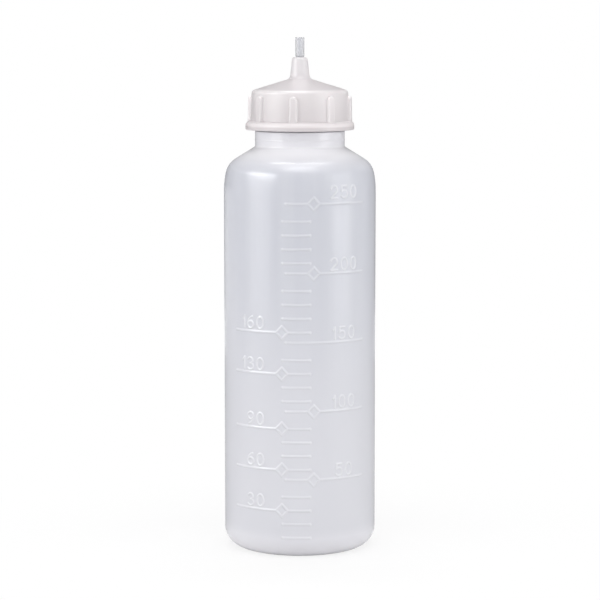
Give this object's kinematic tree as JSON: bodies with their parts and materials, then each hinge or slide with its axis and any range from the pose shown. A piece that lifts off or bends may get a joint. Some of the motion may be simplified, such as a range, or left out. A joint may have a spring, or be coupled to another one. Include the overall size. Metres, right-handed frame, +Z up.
{
  "type": "measuring bottle",
  "caption": "Translucent round measuring bottle with a screw cap, whose conical spout holds a short straight delivery tube; the cap unscrews and rises on its thread.",
  "frame": {"origin": "middle of the foot's standing ring, on the surface that the bottle stands on", "axes": "+Z up along the bottle's axis, -Y towards the side with the scale, +X to the right of that side"},
  "size_m": [0.0535, 0.0537, 0.1805],
  "materials": {
    "bottle_shell": "translucent frosted blow-moulded shell",
    "seal_foam": "soft closed foam",
    "cap_plastic": "smooth moulded, slightly translucent",
    "tube_plastic": "clear flexible tube"
  },
  "bodies": {
    "bottle_body": {"bottle": "bottle_shell"},
    "seal_body": {"sealing_ring": "seal_foam"},
    "cap_body": {"screw_cap": "cap_plastic", "delivery_tube": "tube_plastic"}
  },
  "joints": [
    {"name": "cap_rise", "type": "slide", "parent": "bottle_body", "child": "seal_body", "axis": [0, 0, 1], "range_m": [0, 0.0082]},
    {"name": "cap_turn", "type": "hinge", "parent": "seal_body", "child": "cap_body", "pos_m": [0, 0, 0.154], "axis": [0, 0, 1], "range_deg": [0, 738]}
  ],
  "couplings": [
    {"joint": "cap_rise", "follows": "cap_turn", "m_per_rad": 0.00063662}
  ]
}
